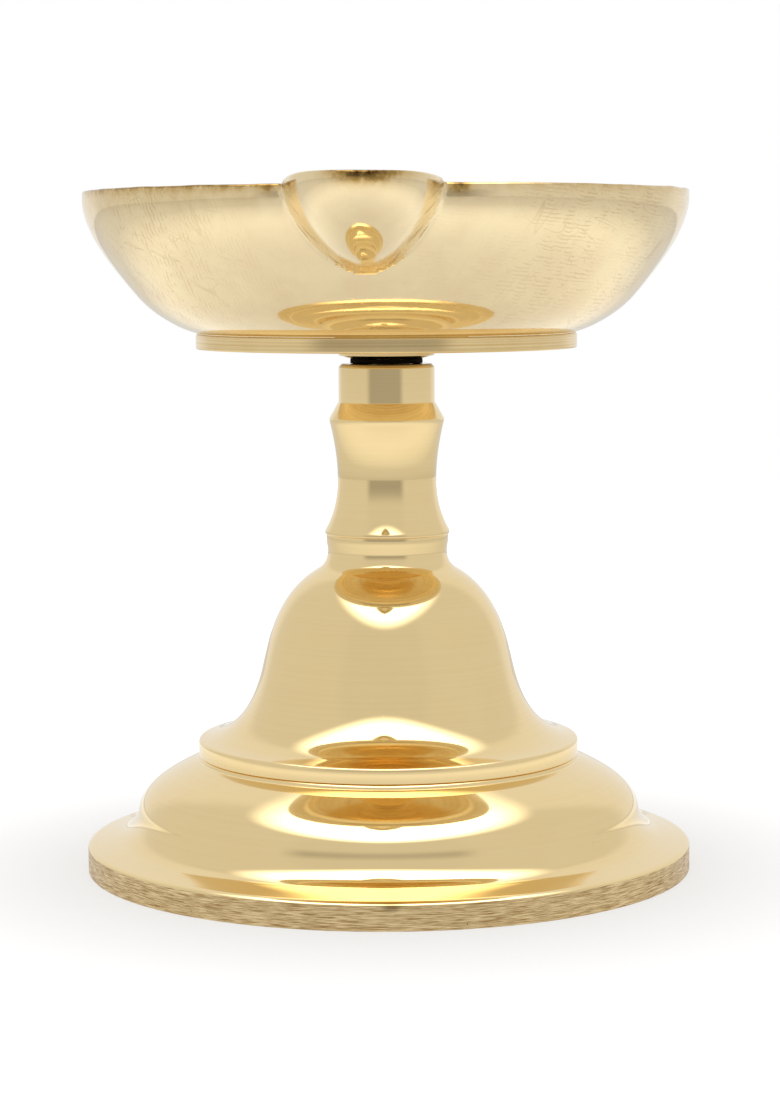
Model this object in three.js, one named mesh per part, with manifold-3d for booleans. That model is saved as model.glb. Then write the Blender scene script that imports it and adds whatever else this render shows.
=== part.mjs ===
// Brass oil lamp (diya) on a stand, in millimetres, +Z up.
// A shallow oil bowl with one wick spout is brazed on a turned disc. A threaded stud under the disc screws
// the bowl into the top of a baluster stem. A tie rod, brazed into the foot of the stem, runs down through
// a hollow bell and a hollow stepped foot, and a washer and a nut on it clamp the three together. The lamp
// stands on the origin, which is the middle of its bounding box: the turning axis lies behind it, because
// the spout reaches further than the foot.

import * as THREE from 'three';
import { mergeVertices } from 'three/addons/utils/BufferGeometryUtils.js';
import Module from 'manifold-3d';

const wasm = await Module();
wasm.setup();

// Foot: hollow stepped casting. Heights are above the surface that it stands on.
const footRadius = 45.0;
const footHeight = 17.0;
const footRingWidth = 3.6; // flat ring that the lamp stands on
const footRingHeight = 1.2; // its straight inner side
const footBandHeight = 3.5; // brushed vertical edge
const footEdgeRound = 0.5;
const footRimRise = 1.1; // the rim slopes up from the band to the dome
const footDomeRadius = 38.4;
const footDomeBelly = 5.5; // first handle of the dome's curve, up from its foot
const footDomeLean = 1.7; // and inwards
const footDomeReach = 5.8; // second handle, outwards from the neck
const footDomeFall = 2.6; // and downwards
const footDomeCove = 0.7; // hollow corner between rim and dome
const footNeckRadius = 27.8; // fine recess under the bell's flange
const footNeckHeight = 0.7;
const footDeckThickness = 3.0;
const footWall = 3.0;
const registerHeight = 1.2; // raised ring that centres the bell on the foot
const registerWidth = 2.5;

// Bell: hollow casting with a flange below and a neck above. Heights are above its flange's seat.
const bellHeight = 32.8;
const bellFlangeRadius = 28.35;
const bellFlangeThickness = 1.9;
const bellFlangeRound = 0.45;
const bellSeatWidth = 3.3; // ring of the flange that stands on the foot
const bellSkirtRadius = 18.9; // where the hollow curve to the flange begins
const bellSkirtHeight = 12.4;
const bellSkirtReach = 4.1; // first handle of that curve, inwards from the flange
const bellSkirtRise = 0.7; // and upwards
const bellSkirtDrop = 6.8; // second handle, down from the curve's upper end
const bellSkirtFlare = 1.7; // and outwards
const bellWaistRadius = 17.9; // where the shoulder ends
const bellWaistHeight = 16.5;
const bellWaistLean = 1.3; // first handle of the shoulder's curve, inwards from the waist
const bellWaistRise = 4.8; // and upwards
const bellShoulderRadius = 10.4; // where the shoulder begins, under the neck
const bellShoulderHeight = 27.5;
const bellShoulderReach = 4.0; // second handle, outwards from there
const bellShoulderFall = 2.3; // and downwards
const bellNeckRadius = 8.85;
const bellNeckHeight = 30.4; // where the neck leaves its hollow corner
const bellCornerReach = 1.0; // first handle of the hollow corner, inwards from the shoulder
const bellCornerRise = 0.6; // and upwards
const bellCornerDrop = 1.4; // second handle, down from the neck
const bellCollarRadius = 9.05;
const bellCollarCone = 1.4; // height over which the neck widens to the collar
const bellWall = 2.6;
const bellCrownThickness = 7.0;
const bellCrownCorner = 0.8; // slope between the wall and the crown, inside

// Stem: turned baluster. Heights are above its seat on the bell's neck.
const stemHeight = 25.2;
const stemFootRadius = 9.25;
const stemFootEdge = 0.45;
const stemBulgeRadius = 8.52; // widest ring under the collar
const stemBulgeHeight = 16.9;
const stemBulgeBand = 0.2; // straight edge of that ring
const stemFootLean = 2.3; // first handle of the waist's curve, inwards from the foot
const stemFootRise = 5.1; // and upwards
const stemWaistPull = 2.6; // second handle, inwards from the foot's radius
const stemWaistDrop = 8.6; // and down from the widest ring
const stemCollarRadius = 7.12;
const stemCollarHeight = 19.5; // where the straight collar begins
const stemCollarCove = 0.15; // hollow corner below it
const stemTopChamfer = 0.5;
const spigotRadius = 5.6; // spigot that centres the stem in the bell's neck
const spigotHeight = 1.2;

// Screw threads: M8 coarse on the stud, and on the tie rod's lower end with its nut
const threadPitch = 1.25;
const threadRadius = 3.95;
const threadCoreRadius = 3.35;
const threadRootWidth = 0.84; // trapezoid ridge
const threadCrestWidth = 0.24;
const threadClearance = 0.2; // radial, crest to groove
const threadFlankClearance = 0.14; // axial, on each flank
const threadBite = 0.1; // ridge and groove start this far inside the core
const tappingDepth = 1.5; // bore past the end of the stud
const boreChamfer = 0.5;
const studReach = 10.5; // stud below the stem's top face
const rodReach = 9.0; // plain end of the tie rod, brazed into the stem above its seat
const rodTail = 1.6; // tie rod below the nut
const rodThreadLength = 11.0; // lower thread of the tie rod

// Oil bowl: casting with a flat seat. Heights are above that seat.
const bowlHeight = 20.9;
const bowlRadius = 44.5;
const bowlSeatRadius = 27.3;
const bowlWall = 2.0;
const bowlFloor = 2.4;
const bowlBellyHeight = 19.6; // height of the widest ring
const bowlLowReach = 7.4; // first handle of the wall's curve, outwards
const bowlLowRise = 1.2; // and upwards
const bowlHighDrop = 6.2; // second handle, down from the widest ring
const bowlRimRound = 0.3;

// Wick spout: a boat-shaped lip on the rim
const spoutReach = 57.0; // from the turning axis to the tip
const spoutRoot = 40.0; // where it starts to taper
const spoutHalfWidth = 11.0;
const spoutDepth = 11.8;
const spoutRise = 1.3; // lip above the rim
const spoutWall = 2.0;
const spoutTipWall = 2.4; // wall at the tip
const spoutHeel = 5.9; // how far the form runs back into the bowl from where it starts to taper
const spoutRoundness = 1.7; // exponent of the section: 2 is an ellipse, less is more like a V
const spoutTaper = 1.8; // exponent of the taper towards the tip

// Disc brazed under the bowl, with a low tapered boss below it
const discRadius = 28.13;
const discThickness = 2.2;
const discEdge = 0.15;
const bossRadius = 7.1;
const bossTipRadius = 5.45;
const bossHeight = 1.5;
const bossConeHeight = 0.45;

// Washers and nut
const seatWasherRadius = 5.36;
const seatWasherThickness = 0.7;
const baseWasherRadius = 8.0;
const baseWasherThickness = 1.6;
const washerEdge = 0.1; // chamfer of both washers
const nutAcrossFlats = 13.0;
const nutHeight = 6.0;
const nutChamfer = 0.6;

// Fits
const holeClearance = 0.35; // radial, round the stud and the tie rod
const registerClearance = 0.3; // radial, round the register and the spigot
const seatGap = 0.05; // on each side of the bowl's seat washer

// Steps of the round shapes
const wideSteps = 52;
const bellSteps = 44;
const stemSteps = 32;
const plainBoreSteps = 24;
const threadSteps = 12; // per turn, and round the rods and bores that carry a thread
const shortCurveSteps = 4;
const curveSteps = 6;
const longCurveSteps = 8;
const spoutSteps = 12; // sections from root to tip
const keelSteps = 14; // across each section

// Shared small shapes
const cornerBow = 0.6; // middle point of a round edge, as a share of its radius
const coveBow = 0.3; // middle point of a hollow corner, as a share of its radius
const hollowCorner = 1.5; // slope where a hollow's wall meets its flat end
const pointSpace = 0.2; // least height from a hollow's curve to its flat end
const cutOver = 1.0; // how far a cut runs past the face that it opens
const weldDistance = 1e-4; // points closer than this are one point

// Heights where one piece stands on another
const bellBase = footHeight;
const stemBase = bellBase + bellHeight;
const stemTop = stemBase + stemHeight;
const seatWasherBase = stemTop + seatGap;
const discBase = seatWasherBase + seatWasherThickness + seatGap;
const bowlBase = discBase + bossHeight + discThickness;
const studBase = stemTop - studReach;
const baseWasherBase = footHeight - footDeckThickness - baseWasherThickness;
const nutBase = baseWasherBase - nutHeight;
const rodBase = nutBase - rodTail;

// Holes that follow from the thread
const boreRadius = threadCoreRadius + threadClearance;
const passRadius = threadRadius + holeClearance;

// Turns a closed triangle mesh into a solid with its faces pointing out.
function solidFrom(geometry) {
  geometry.deleteAttribute('normal');
  geometry.deleteAttribute('uv');
  const merged = mergeVertices(geometry, weldDistance);
  const corners = merged.getAttribute('position').array;
  const index = merged.getIndex().array;
  const triangles = [];
  let volume = 0;
  const at = (i) => new THREE.Vector3().fromArray(corners, 3 * i);
  for (let i = 0; i < index.length; i += 3) {
    const [a, b, c] = [index[i], index[i + 1], index[i + 2]];
    if (a !== b && b !== c && c !== a) {
      triangles.push([a, b, c]);
      volume += at(a).dot(at(b).cross(at(c)));
    }
  }
  const outwards = volume > 0 ? triangles : triangles.map(([a, b, c]) => [a, c, b]);
  return new wasm.Manifold(new wasm.Mesh({
    numProp: 3,
    vertProperties: new Float32Array(corners),
    triVerts: new Uint32Array(outwards.flat()),
  }));
}

// Turns an outline of [radius, height] points about the axis. It closes on itself, or on the axis.
function turned(outline, steps) {
  const points = outline.map(([radius, height]) => new THREE.Vector2(radius, height));
  const last = points[points.length - 1];
  if (points[0].x > 0 || last.x > 0) {
    points.push(points[0].clone());
  }
  return solidFrom(new THREE.LatheGeometry(points, steps).rotateX(Math.PI / 2));
}

// Joins rings of points, each with the same count, into a solid with closed ends.
function lofted(rings) {
  const count = rings[0].length;
  const index = [];
  for (let ring = 0; ring < rings.length - 1; ring += 1) {
    for (let side = 0; side < count; side += 1) {
      const a = ring * count + side;
      const b = ring * count + ((side + 1) % count);
      index.push(a, b, b + count, a, b + count, a + count);
    }
  }
  const end = (rings.length - 1) * count;
  for (let side = 1; side < count - 1; side += 1) {
    index.push(0, side + 1, side);
    index.push(end, end + side, end + side + 1);
  }
  const geometry = new THREE.BufferGeometry();
  geometry.setAttribute('position', new THREE.Float32BufferAttribute(rings.flat(2), 3));
  geometry.setIndex(index);
  return solidFrom(geometry);
}

// Points of a cubic curve from one outline point to another, with two handles.
function curve(start, startHandle, endHandle, end, steps = curveSteps) {
  const corners = [start, startHandle, endHandle, end].map(([r, z]) => new THREE.Vector2(r, z));
  return new THREE.CubicBezierCurve(...corners).getPoints(steps).map((p) => [p.x, p.y]);
}

// Moves an outline to its left by a wall's thickness, and keeps every second point of it.
function inset(outline, wall) {
  const moved = outline.map(([radius, height], i) => {
    const before = outline[Math.max(i - 1, 0)];
    const after = outline[Math.min(i + 1, outline.length - 1)];
    const length = Math.hypot(after[0] - before[0], after[1] - before[1]);
    const across = (after[1] - before[1]) / length;
    const up = (after[0] - before[0]) / length;
    return [radius - across * wall, height + up * wall];
  });
  return moved.filter((point, i) => i % 2 === 0);
}

// Ridge of a right-hand thread between two heights. All ridges with one reference height run in phase.
function threadRidge(bottom, top, reference, inner, outer, rootWidth, crestWidth) {
  const stepHeight = threadPitch / threadSteps;
  const first = Math.floor((bottom - reference) / stepHeight);
  const last = Math.ceil((top - reference) / stepHeight);
  const rings = [];
  for (let i = first; i <= last; i += 1) {
    const height = reference + i * stepHeight;
    const angle = (i / threadSteps) * 2 * Math.PI;
    const corner = (radius, offset) => [
      radius * Math.cos(angle),
      radius * Math.sin(angle),
      height + offset,
    ];
    rings.push([
      corner(inner, -rootWidth / 2),
      corner(outer, -crestWidth / 2),
      corner(outer, crestWidth / 2),
      corner(inner, rootWidth / 2),
    ]);
  }
  return lofted(rings);
}

// Ridge of an outside thread, to be trimmed at the rod's ends.
function outsideThread(bottom, top, reference) {
  return threadRidge(
    bottom,
    top,
    reference,
    threadCoreRadius - threadBite,
    threadRadius,
    threadRootWidth,
    threadCrestWidth,
  );
}

// Groove of an inside thread, wider and deeper than the ridge by the thread's clearances.
function insideThread(bottom, top, reference) {
  return threadRidge(
    bottom,
    top,
    reference,
    threadCoreRadius - threadBite,
    threadRadius + threadClearance,
    threadRootWidth + 2 * threadFlankClearance,
    threadCrestWidth + 2 * threadFlankClearance,
  );
}

function footSolid() {
  const rimTop = footBandHeight + footEdgeRound + footRimRise;
  const domeTop = footHeight - footNeckHeight;
  const domeFoot = rimTop + footDomeCove;
  const registerRadius = bellFlangeRadius - bellSeatWidth - registerClearance;
  const deckUnderside = footHeight - footDeckThickness;
  const dome = curve(
    [footDomeRadius, domeFoot],
    [footDomeRadius - footDomeLean, domeFoot + footDomeBelly],
    [footNeckRadius + footDomeReach, domeTop - footDomeFall],
    [footNeckRadius, domeTop],
    longCurveSteps,
  );
  const hollow = inset(dome, footWall).filter(([, height]) => height < deckUnderside - pointSpace);
  const innerFoot = rimTop - footWall / 2;
  return turned([
    [passRadius, footHeight],
    [registerRadius - registerWidth, footHeight],
    [registerRadius - registerWidth, footHeight + registerHeight],
    [registerRadius, footHeight + registerHeight],
    [registerRadius, footHeight],
    [footNeckRadius, footHeight],
    ...[...dome].reverse(),
    [footDomeRadius + coveBow * footDomeCove, rimTop + coveBow * footDomeCove],
    [footDomeRadius + footDomeCove, rimTop],
    [footRadius - 2 * footEdgeRound, footBandHeight + footEdgeRound],
    [footRadius - (1 - cornerBow) * footEdgeRound, footBandHeight + cornerBow * footEdgeRound],
    [footRadius, footBandHeight],
    [footRadius, 0],
    [footRadius - footRingWidth, 0],
    [footRadius - footRingWidth, footRingHeight],
    [footDomeRadius - footWall, innerFoot],
    ...hollow,
    [hollow[hollow.length - 1][0] - hollowCorner, deckUnderside],
    [passRadius, deckUnderside],
  ], wideSteps);
}

function bellSolid() {
  const flangeTop = bellFlangeThickness + bellFlangeRound;
  const skirt = curve(
    [bellFlangeRadius - bellFlangeRound, flangeTop],
    [bellFlangeRadius - bellFlangeRound - bellSkirtReach, flangeTop + bellSkirtRise],
    [bellSkirtRadius + bellSkirtFlare, bellSkirtHeight - bellSkirtDrop],
    [bellSkirtRadius, bellSkirtHeight],
  );
  const shoulder = curve(
    [bellWaistRadius, bellWaistHeight],
    [bellWaistRadius - bellWaistLean, bellWaistHeight + bellWaistRise],
    [bellShoulderRadius + bellShoulderReach, bellShoulderHeight - bellShoulderFall],
    [bellShoulderRadius, bellShoulderHeight],
  );
  const neck = curve(
    [bellShoulderRadius, bellShoulderHeight],
    [bellShoulderRadius - bellCornerReach, bellShoulderHeight + bellCornerRise],
    [bellNeckRadius, bellNeckHeight - bellCornerDrop],
    [bellNeckRadius, bellNeckHeight],
    shortCurveSteps,
  );
  const openingRadius = bellFlangeRadius - bellSeatWidth;
  const crownUnderside = bellHeight - bellCrownThickness;
  const registerTop = registerHeight + registerClearance;
  const hollow = inset([...skirt, ...shoulder], bellWall).filter(([radius, height]) => (
    radius < openingRadius && height > registerTop && height < crownUnderside - pointSpace
  ));
  return turned([
    [openingRadius, registerTop],
    [openingRadius, 0],
    [bellFlangeRadius, 0],
    [bellFlangeRadius, bellFlangeThickness],
    ...skirt,
    ...shoulder,
    ...neck.slice(1),
    [bellCollarRadius, bellNeckHeight + bellCollarCone],
    [bellCollarRadius, bellHeight],
    [spigotRadius + registerClearance, bellHeight],
    [spigotRadius + registerClearance, bellHeight - spigotHeight - registerClearance],
    [passRadius, bellHeight - spigotHeight - registerClearance],
    [passRadius, crownUnderside],
    [hollow[hollow.length - 1][0] - bellCrownCorner, crownUnderside],
    ...hollow.reverse(),
  ], bellSteps);
}

function stemSolid() {
  const upperBore = stemHeight - studReach - tappingDepth;
  const lowerBore = rodReach + holeClearance;
  const blank = turned([
    [0, -spigotHeight],
    [spigotRadius, -spigotHeight],
    [spigotRadius, 0],
    [stemFootRadius, 0],
    ...curve(
      [stemFootRadius, stemFootEdge],
      [stemFootRadius - stemFootLean, stemFootEdge + stemFootRise],
      [stemFootRadius - stemWaistPull, stemBulgeHeight - stemWaistDrop],
      [stemBulgeRadius, stemBulgeHeight],
      longCurveSteps,
    ),
    [stemBulgeRadius, stemBulgeHeight + stemBulgeBand],
    [stemCollarRadius + stemCollarCove, stemCollarHeight - stemCollarCove],
    [stemCollarRadius, stemCollarHeight],
    [stemCollarRadius, stemHeight - stemTopChamfer],
    [stemCollarRadius - stemTopChamfer, stemHeight],
    [0, stemHeight],
  ], stemSteps);
  const mouth = boreRadius + 2 * boreChamfer;
  const bores = turned([
    [0, stemHeight + boreChamfer],
    [mouth, stemHeight + boreChamfer],
    [boreRadius, stemHeight - boreChamfer],
    [boreRadius, upperBore],
    [0, upperBore],
  ], threadSteps).add(turned([
    [0, lowerBore],
    [passRadius, lowerBore],
    [passRadius, -spigotHeight - cutOver],
    [0, -spigotHeight - cutOver],
  ], plainBoreSteps));
  const groove = insideThread(upperBore + threadPitch, stemHeight + threadPitch, stemHeight);
  return blank.subtract(bores).subtract(groove);
}

// Section of the spout at a share of its taper, 0 at the root and 1 at the tip: the two ends of the open
// top and the round keel between them, all at one distance from the turning axis.
function spoutSection(share, distance, rim, halfWidth, depth, headroom) {
  const taper = (1 - share ** spoutTaper) ** (1 / spoutRoundness);
  const lip = rim + spoutRise * (1 - (1 - share) ** 2);
  const power = 2 / spoutRoundness;
  const ring = [];
  for (let i = 0; i <= keelSteps; i += 1) {
    const angle = (Math.PI * i) / keelSteps;
    const side = Math.sign(Math.cos(angle)) * Math.abs(Math.cos(angle)) ** power;
    ring.push([
      taper * halfWidth * side,
      -distance,
      lip - taper * depth * Math.abs(Math.sin(angle)) ** power,
    ]);
  }
  if (headroom > 0) {
    ring.push([-taper * halfWidth, -distance, lip + headroom]);
    ring.push([taper * halfWidth, -distance, lip + headroom]);
  }
  return ring;
}

// The spout as a solid. With walls, it is the trough that is cut out of it, open at the top.
function spoutForm(wall, tipWall, headroom) {
  const tip = spoutReach - tipWall;
  const section = (share, distance) => spoutSection(
    share,
    distance,
    bowlHeight,
    spoutHalfWidth - wall,
    spoutDepth - wall,
    headroom,
  );
  const rings = [section(0, spoutRoot - spoutHeel - wall)];
  for (let i = 0; i <= spoutSteps; i += 1) {
    const share = Math.sin((Math.PI / 2) * (i / spoutSteps));
    rings.push(section(share, spoutRoot + (tip - spoutRoot) * share));
  }
  return lofted(rings);
}

function bowlSolid() {
  const wallCurve = curve(
    [bowlSeatRadius, 0],
    [bowlSeatRadius + bowlLowReach, bowlLowRise],
    [bowlRadius, bowlBellyHeight - bowlHighDrop],
    [bowlRadius, bowlBellyHeight],
    longCurveSteps,
  );
  const hollow = inset(wallCurve, bowlWall).filter(([, height]) => height > bowlFloor + pointSpace);
  const above = spoutRise + cutOver;
  const body = turned([
    [0, 0],
    ...wallCurve,
    [bowlRadius - bowlRimRound / 3, bowlHeight - bowlRimRound],
    [bowlRadius - bowlRimRound, bowlHeight],
    [0, bowlHeight],
  ], wideSteps);
  const cavity = turned([
    [0, bowlFloor],
    [hollow[0][0] - hollowCorner, bowlFloor],
    ...hollow,
    [bowlRadius - bowlWall, bowlHeight - bowlRimRound],
    [bowlRadius - bowlWall + bowlRimRound, bowlHeight],
    [bowlRadius - bowlWall + bowlRimRound, bowlHeight + above],
    [0, bowlHeight + above],
  ], wideSteps);
  const spout = spoutForm(0, 0, 0);
  const trough = spoutForm(spoutWall, spoutTipWall, above);
  return body.add(spout).subtract(cavity).subtract(trough);
}

function discSolid() {
  const top = bossHeight + discThickness;
  return turned([
    [passRadius, 0],
    [bossTipRadius, 0],
    [bossRadius, bossConeHeight],
    [bossRadius, bossHeight],
    [discRadius - discEdge, bossHeight],
    [discRadius, bossHeight + discEdge],
    [discRadius, top - discEdge],
    [discRadius - discEdge, top],
    [passRadius, top],
  ], wideSteps);
}

// Rod that is threaded from its chamfered lower end, and plain above that.
function threadedRod(length, threadedLength, reference) {
  const chamfer = threadRadius - threadCoreRadius;
  const core = turned([
    [0, 0],
    [threadCoreRadius, 0],
    [threadCoreRadius, threadedLength - chamfer],
    [threadRadius, threadedLength],
    [threadRadius, length],
    [0, length],
  ], threadSteps);
  const envelope = turned([
    [0, 0],
    [threadCoreRadius, 0],
    [threadRadius + chamfer, 2 * chamfer],
    [threadRadius + chamfer, length],
    [0, length],
  ], threadSteps);
  const ridge = outsideThread(-threadPitch, threadedLength - chamfer, reference);
  return core.add(ridge.intersect(envelope));
}

// The stud's thread ends just below the stem's top face, and runs in phase with the stem's bore.
function studSolid() {
  return threadedRod(bowlBase - studBase, studReach - 2 * seatGap, studReach);
}

// The tie rod's thread runs in phase with the nut's.
function tieRodSolid() {
  return threadedRod(stemBase + rodReach - rodBase, rodThreadLength, stemBase - rodBase);
}

function nutSolid() {
  const cornerRadius = nutAcrossFlats / Math.sqrt(3);
  const hexagon = new THREE.CylinderGeometry(cornerRadius, cornerRadius, nutHeight, 6);
  const prism = solidFrom(hexagon.rotateX(Math.PI / 2).translate(0, 0, nutHeight / 2));
  const flatRadius = nutAcrossFlats / 2;
  const rounded = turned([
    [0, 0],
    [flatRadius, 0],
    [flatRadius + 2 * nutChamfer, nutChamfer],
    [flatRadius + 2 * nutChamfer, nutHeight - nutChamfer],
    [flatRadius, nutHeight],
    [0, nutHeight],
  ], threadSteps);
  const bore = turned([
    [0, -cutOver],
    [boreRadius + boreChamfer + cutOver, -cutOver],
    [boreRadius, boreChamfer],
    [boreRadius, nutHeight - boreChamfer],
    [boreRadius + boreChamfer + cutOver, nutHeight + cutOver],
    [0, nutHeight + cutOver],
  ], threadSteps);
  const groove = insideThread(-threadPitch, nutHeight + threadPitch, stemBase - nutBase);
  return prism.intersect(rounded).subtract(bore).subtract(groove);
}

function washerSolid(radius, thickness) {
  return turned([
    [passRadius, 0],
    [radius - washerEdge, 0],
    [radius, washerEdge],
    [radius, thickness - washerEdge],
    [radius - washerEdge, thickness],
    [passRadius, thickness],
  ], stemSteps);
}

// Finishes
const filedBrass = { color: '#e3c98b', roughness: 0.36, metalness: 1 };
const turnedBrass = { color: '#d9bd7e', roughness: 0.3, metalness: 1 };
const polishedBrass = { color: '#ecd294', roughness: 0.14, metalness: 1 };
const brushedBrass = { color: '#cdb277', roughness: 0.42, metalness: 1 };
const blackRubber = { color: '#14100e', roughness: 0.7, metalness: 0 };
const zincSteel = { color: '#aeb0b2', roughness: 0.4, metalness: 1 };

// The lamp's group has its bounding box's middle over the origin.
const lamp = new THREE.Group();
lamp.position.y = (spoutReach - footRadius) / 2;

function place(name, solid, height, finish) {
  const { vertProperties, triVerts } = solid.getMesh();
  const geometry = new THREE.BufferGeometry();
  geometry.setAttribute('position', new THREE.BufferAttribute(vertProperties, 3));
  geometry.setIndex(new THREE.BufferAttribute(triVerts, 1));
  geometry.computeVertexNormals();
  const mesh = new THREE.Mesh(geometry, new THREE.MeshStandardMaterial(finish));
  mesh.name = name;
  mesh.position.z = height;
  lamp.add(mesh);
}

place('base_foot', footSolid(), 0, brushedBrass);
place('base_bell', bellSolid(), bellBase, polishedBrass);
place('stem', stemSolid(), stemBase, polishedBrass);
place('tie_rod', tieRodSolid(), rodBase, zincSteel);
place('base_washer', washerSolid(baseWasherRadius, baseWasherThickness), baseWasherBase, zincSteel);
place('base_nut', nutSolid(), nutBase, zincSteel);
place('seat_washer', washerSolid(seatWasherRadius, seatWasherThickness), seatWasherBase, blackRubber);
place('foot_disc', discSolid(), discBase, turnedBrass);
place('bowl_stud', studSolid(), studBase, turnedBrass);
place('oil_bowl', bowlSolid(), bowlBase, filedBrass);

const model = new THREE.Group();
model.add(lamp);
export default model;
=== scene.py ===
from math import acos, cos, exp, hypot, pi, radians, sin, tan
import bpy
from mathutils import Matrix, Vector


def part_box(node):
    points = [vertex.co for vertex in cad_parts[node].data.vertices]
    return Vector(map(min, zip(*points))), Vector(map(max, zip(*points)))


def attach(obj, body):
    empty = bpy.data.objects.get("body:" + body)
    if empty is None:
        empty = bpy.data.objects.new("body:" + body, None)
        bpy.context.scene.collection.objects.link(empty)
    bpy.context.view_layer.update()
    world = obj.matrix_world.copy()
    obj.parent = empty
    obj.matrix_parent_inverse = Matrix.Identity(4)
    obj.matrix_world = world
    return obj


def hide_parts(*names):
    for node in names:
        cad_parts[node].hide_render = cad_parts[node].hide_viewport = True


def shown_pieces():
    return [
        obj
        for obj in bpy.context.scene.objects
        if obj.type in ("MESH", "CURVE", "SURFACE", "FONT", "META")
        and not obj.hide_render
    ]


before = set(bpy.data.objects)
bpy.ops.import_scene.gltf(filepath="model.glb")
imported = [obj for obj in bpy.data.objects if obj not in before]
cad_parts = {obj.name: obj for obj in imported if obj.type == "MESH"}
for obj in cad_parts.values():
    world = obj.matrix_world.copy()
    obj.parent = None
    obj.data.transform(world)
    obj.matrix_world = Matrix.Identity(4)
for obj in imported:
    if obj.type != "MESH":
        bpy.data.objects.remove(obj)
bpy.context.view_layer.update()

from types import SimpleNamespace as Settings

import bmesh
import bpy
import numpy as np
from mathutils import Matrix

# Brass oil lamp. Sizes in the dictionaries are in millimetres, finished meshes are in metres.
mm = 0.001
axisY = 6.0  # the turning axis lies this far behind the middle of the frame
scene = bpy.context.scene


def baseOf(node):
    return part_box(node)[0].z / mm


def addObject(name, data):
    added = bpy.data.objects.new(name, data)
    scene.collection.objects.link(added)
    return added


# One small function for every node, in materials, the world and geometry trees alike. A shader node's kind
# is given without "ShaderNode". Inputs are a list in the node's order, or a dictionary. Each is a plain
# value, a socket, or a node, which stands for the first of its outputs in use.
def addNode(tree, kind, inputs=(), **settings):
    node = tree.nodes.new(kind if "Node" in kind else "ShaderNode" + kind)
    for name, value in settings.items():
        setattr(node, name, value)
    for key, value in inputs.items() if isinstance(inputs, dict) else enumerate(inputs):
        if isinstance(value, bpy.types.Node):
            value = next(socket for socket in value.outputs if socket.enabled)
        if isinstance(value, bpy.types.NodeSocket):
            tree.links.new(value, node.inputs[key])
        else:
            node.inputs[key].default_value = value
    return node


def colour(hexCode):
    parts = [int(hexCode[i:i + 2], 16) / 255 for i in (1, 3, 5)]
    return [p / 12.92 if p <= 0.04045 else ((p + 0.055) / 1.055) ** 2.4 for p in parts] + [1.0]


def startMaterial(name):
    material = bpy.data.materials.new(name)
    material.use_nodes = True
    material.node_tree.nodes.clear()
    return material, material.node_tree


# Lays colours over the first one, each by its share times its factors, stacks the bumps in their order,
# each with its depth and whether it is sunk, and ends in a shader.
def endMaterial(tree, first, layers, bumps, shine):
    tone = colour(first)
    for hexCode, share, *factors in layers:
        for factor in factors:
            share = addNode(tree, "Math", [share, factor], operation="MULTIPLY")
        tone = addNode(tree, "Mix", {0: share, 6: tone, 7: colour(hexCode)}, data_type="RGBA")
    normal = {}
    for depth, sunk, height, *factors in bumps:
        for factor in factors:
            height = addNode(tree, "Math", [height, factor], operation="MULTIPLY")
        bump = addNode(tree, "Bump", {"Height": height, "Distance": depth * mm, **normal}, invert=sunk)
        normal = {"Normal": bump}
    shader = addNode(tree, "BsdfPrincipled", {"Base Color": tone, **normal, **shine})
    addNode(tree, "OutputMaterial", [shader])


# Object coordinates in millimetres, with their zero on the turning axis
def axisPlace(tree):
    place = addNode(tree, "TexCoord").outputs["Object"]
    return addNode(tree, "Mapping", {"Vector": place, "Location": (0, -axisY, 0), "Scale": (1 / mm,) * 3})


# Place for marks that run round the axis: (radius, 0, height), plus a little of the direction, which
# ends each mark after its length
def ringPlace(tree, place, direction):
    parts = addNode(tree, "SeparateXYZ", [place]).outputs
    flat = addNode(tree, "CombineXYZ", [parts[0], parts[1]])
    radius = addNode(tree, "VectorMath", [flat], operation="LENGTH")
    around = addNode(tree, "VectorMath", [flat], operation="NORMALIZE")
    rings = addNode(tree, "CombineXYZ", {0: radius, 2: parts[2]})
    return addNode(tree, "VectorMath", [around, (direction,) * 3, rings], operation="MULTIPLY_ADD")


# Brass that was turned and then buffed, brushed or left as cast. Marks run round the axis.
# Polished: a near mirror with faint buffing lines and a few pinholes of the casting.
polishedBrass = {
    "name": "polished brass", "light": "#f1d8a2", "deep": "#efd59e", "pit": "#7a6134", "aged": "#5a3f1c",
    "markWidth": 0.3, "markLength": 30.0, "markDepth": 0.00008, "markShare": 0.6,
    "swell": 6.0, "swellDepth": 0.002, "rough": (0.05, 0.07),
    "pitSpacing": 5.0, "pitSize": 0.09, "pitDepth": 0.02,
}
# Turned: fine tool rings that spread a reflection across the edge.
turnedBrass = {
    "name": "turned brass", "light": "#f1d9a6", "deep": "#dcbc80", "pit": "#5d4620", "aged": "#5a3f1c",
    "markWidth": 0.2, "markLength": 60.0, "markDepth": 0.0012, "markShare": 0.85,
    "swell": 4.0, "swellDepth": 0.003, "rough": (0.12, 0.22),
    "pitSpacing": 6.0, "pitSize": 0.10, "pitDepth": 0.02,
}
# Brushed: the foot's edge, run against a coarse belt. Streaks are drawn about twice too wide, to show. Its
# deep tone is dark partly for the streaks and partly as painted shade, for the floor in the foot's shadow
# that the edge mirrors.
brushedBrass = {
    "name": "brushed brass", "light": "#f3dbaa", "deep": "#9f7b45", "pit": "#4c3a1c", "aged": "#5a4220",
    "markWidth": 0.075, "markLength": 1.2, "markDepth": 0.004, "markShare": 0.95,
    "swell": 6.0, "swellDepth": 0.004, "rough": (0.26, 0.42),
    "pitSpacing": 2.4, "pitSize": 0.14, "pitDepth": 0.03,
}
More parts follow.
